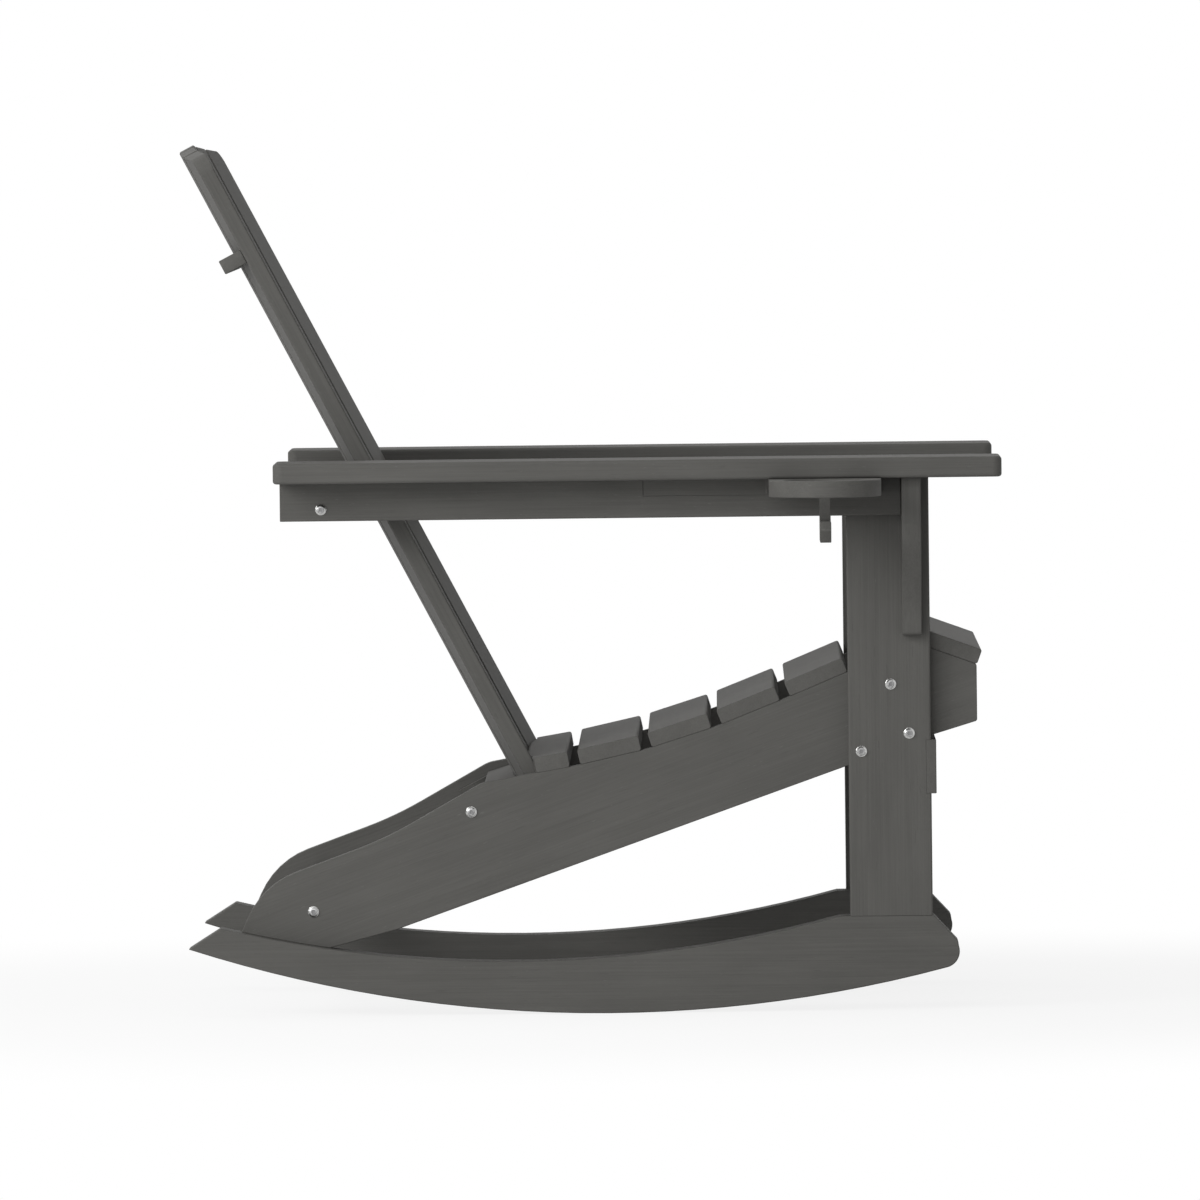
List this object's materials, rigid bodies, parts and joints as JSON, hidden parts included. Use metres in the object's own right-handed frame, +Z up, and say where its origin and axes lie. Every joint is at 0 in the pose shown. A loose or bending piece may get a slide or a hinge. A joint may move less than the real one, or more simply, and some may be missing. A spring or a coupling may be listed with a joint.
{
  "type": "rocking adirondack chair",
  "caption": "Outdoor rocking chair of grey moulded boards, with a leaning hollow back of slats, a dipped seat, broad flat arms, curved rockers and a cup ring beside the right arm.",
  "frame": {"origin": "on the floor, below the middle of the whole chair's plan outline, with the cup ring included; the chair's own middle plane is at Y = +54 mm", "axes": "+X to the front, +Y to the sitter's left, +Z up"},
  "size_m": [0.8876, 0.864, 0.9378],
  "materials": {
    "grey_lumber": "matte, with a fine embossed wood grain",
    "bolt_steel": "satin"
  },
  "bodies": {
    "root": {"rocker_left": "grey_lumber", "rocker_right": "grey_lumber", "stringer_left": "grey_lumber", "stringer_right": "grey_lumber", "front_leg_left": "grey_lumber", "front_leg_right": "grey_lumber", "front_stretcher": "grey_lumber", "rear_stretcher": "grey_lumber", "lower_back_rail": "grey_lumber", "back_rail_cleat_left": "grey_lumber", "back_rail_cleat_right": "grey_lumber", "seat_slat_1": "grey_lumber", "seat_slat_2": "grey_lumber", "seat_slat_3": "grey_lumber", "seat_slat_4": "grey_lumber", "seat_slat_5": "grey_lumber", "seat_slat_6": "grey_lumber", "seat_slat_7": "grey_lumber", "back_slat_1": "grey_lumber", "back_slat_2": "grey_lumber", "back_slat_3": "grey_lumber", "back_slat_4": "grey_lumber", "back_slat_5": "grey_lumber", "upper_back_brace": "grey_lumber", "arm_back_rail": "grey_lumber", "arm_rail_left": "grey_lumber", "arm_rail_right": "grey_lumber", "arm_bracket_left": "grey_lumber", "arm_bracket_right": "grey_lumber", "arm_left": "grey_lumber", "arm_right": "grey_lumber", "cup_holder_board": "grey_lumber", "cup_support": "grey_lumber", "frame_bolts": "bolt_steel", "frame_nuts": "bolt_steel", "end_screws": "bolt_steel", "rail_screws": "bolt_steel", "rocker_screws": "bolt_steel"}
  },
  "joints": []
}
